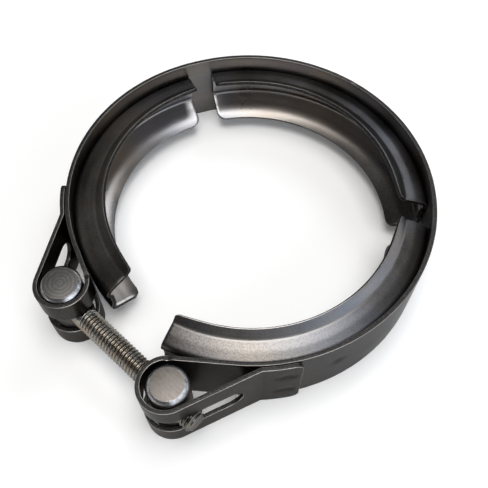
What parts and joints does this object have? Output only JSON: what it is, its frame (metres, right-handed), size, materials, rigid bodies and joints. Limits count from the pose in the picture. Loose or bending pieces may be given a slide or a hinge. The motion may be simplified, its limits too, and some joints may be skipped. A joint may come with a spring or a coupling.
{
  "type": "v band clamp",
  "caption": "Sprung steel strap lined with pressed vee retainers, drawn shut round two pipe flanges by a swivelling tee bolt held in looped ends.",
  "frame": {"origin": "ring axis at the middle plane of the vee groove", "axes": "+Z along the ring axis, out of the side with the square-cornered retainer lips; -Y towards the mouth and its tee bolt; +X from the bolt trunnion towards the plain trunnion"},
  "size_m": [0.0984, 0.1089, 0.0222],
  "materials": {
    "strap_steel": "heat-darkened stainless strip, worn, with lighter cut edges",
    "retainer_steel": "heat-darkened pressed stainless, finely speckled",
    "trunnion_steel": "turned bar, bright chamfer",
    "stud_steel": "dull plated rolled thread"
  },
  "bodies": {
    "strap_back": {"band_strap": "strap_steel", "retainer_middle": "retainer_steel"},
    "left_arm": {"retainer_left": "retainer_steel"},
    "right_arm": {"retainer_right": "retainer_steel"},
    "tee_bolt": {"bolt_trunnion": "trunnion_steel", "bolt_stud": "stud_steel"},
    "spacer": {"spacer_trunnion": "trunnion_steel"}
  },
  "joints": [
    {"name": "left_arm_flex", "type": "hinge", "parent": "strap_back", "child": "left_arm", "pos_m": [-0.04072, 0.02625, -0.0015], "axis": [0, 0, 1], "range_deg": [-2, 5], "stiffness_Nm_per_rad": 10, "deforming": ["band_strap"]},
    {"name": "right_arm_flex", "type": "hinge", "parent": "strap_back", "child": "right_arm", "pos_m": [0.04072, 0.02625, -0.0015], "axis": [0, 0, 1], "range_deg": [-5, 2], "stiffness_Nm_per_rad": 10, "deforming": ["band_strap"]},
    {"name": "tee_bolt_swivel", "type": "hinge", "parent": "left_arm", "child": "tee_bolt", "pos_m": [-0.0178, -0.05075, -0.0015], "axis": [0, 0, 1], "range_deg": [-6.65, 2.66]},
    {"name": "spacer_swivel", "type": "hinge", "parent": "right_arm", "child": "spacer", "pos_m": [0.01925, -0.0529, -0.0015], "axis": [0, 0, 1], "range_deg": [-1.34, 3.35]}
  ],
  "couplings": [
    {"joint": "right_arm_flex", "follows": "left_arm_flex", "ratio": -1},
    {"joint": "tee_bolt_swivel", "follows": "left_arm_flex", "ratio": -1.33},
    {"joint": "spacer_swivel", "follows": "left_arm_flex", "ratio": 0.67}
  ]
}
